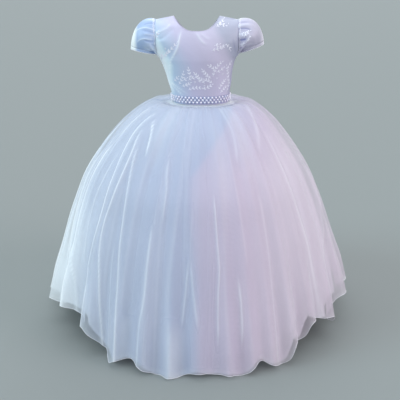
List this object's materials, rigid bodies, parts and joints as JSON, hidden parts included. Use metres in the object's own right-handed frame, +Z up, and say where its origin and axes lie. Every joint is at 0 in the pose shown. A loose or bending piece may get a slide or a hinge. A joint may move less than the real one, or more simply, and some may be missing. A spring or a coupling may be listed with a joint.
{
  "type": "tulle dress",
  "caption": "Girl's floor-length formal dress, worn shape with no wearer: satin bodice with raised lace, short puff sleeves, pearl belt and full gathered tulle skirt.",
  "frame": {"origin": "midway between the two neck points of the shoulder seams, where the wearer's shoulders hold the dress", "axes": "+Z up, -Y out of the front of the dress, +X to the viewer's right, which is the wearer's left"},
  "size_m": [1.0858, 1.0778, 1.0295],
  "materials": {
    "satin": "dull satin, pale blue-lilac white",
    "tulle": "fine matt net in layers",
    "lining": "matt woven underskirt",
    "lace": "raised embroidered lace",
    "pearl": "lustrous imitation pearl"
  },
  "bodies": {
    "root": {"bodice_front": "satin", "bodice_back_left": "satin", "bodice_back_right": "satin", "neck_binding": "satin", "sleeve_left": "satin", "sleeve_right": "satin", "cuff_left": "satin", "cuff_right": "satin", "back_placket": "satin", "button_1": "satin", "button_2": "satin", "button_3": "satin", "button_4": "satin", "button_5": "satin", "button_6": "satin", "tulle_front": "tulle", "tulle_side_left": "tulle", "tulle_side_right": "tulle", "tulle_back_left": "tulle", "tulle_back_right": "tulle", "underskirt": "lining", "lace_side_left": "lace", "lace_chest_right": "lace", "lace_shoulder_right": "lace", "lace_front_left": "lace", "lace_front_middle": "lace", "lace_front_right": "lace", "lace_side_right": "lace", "belt": "pearl"}
  },
  "joints": []
}
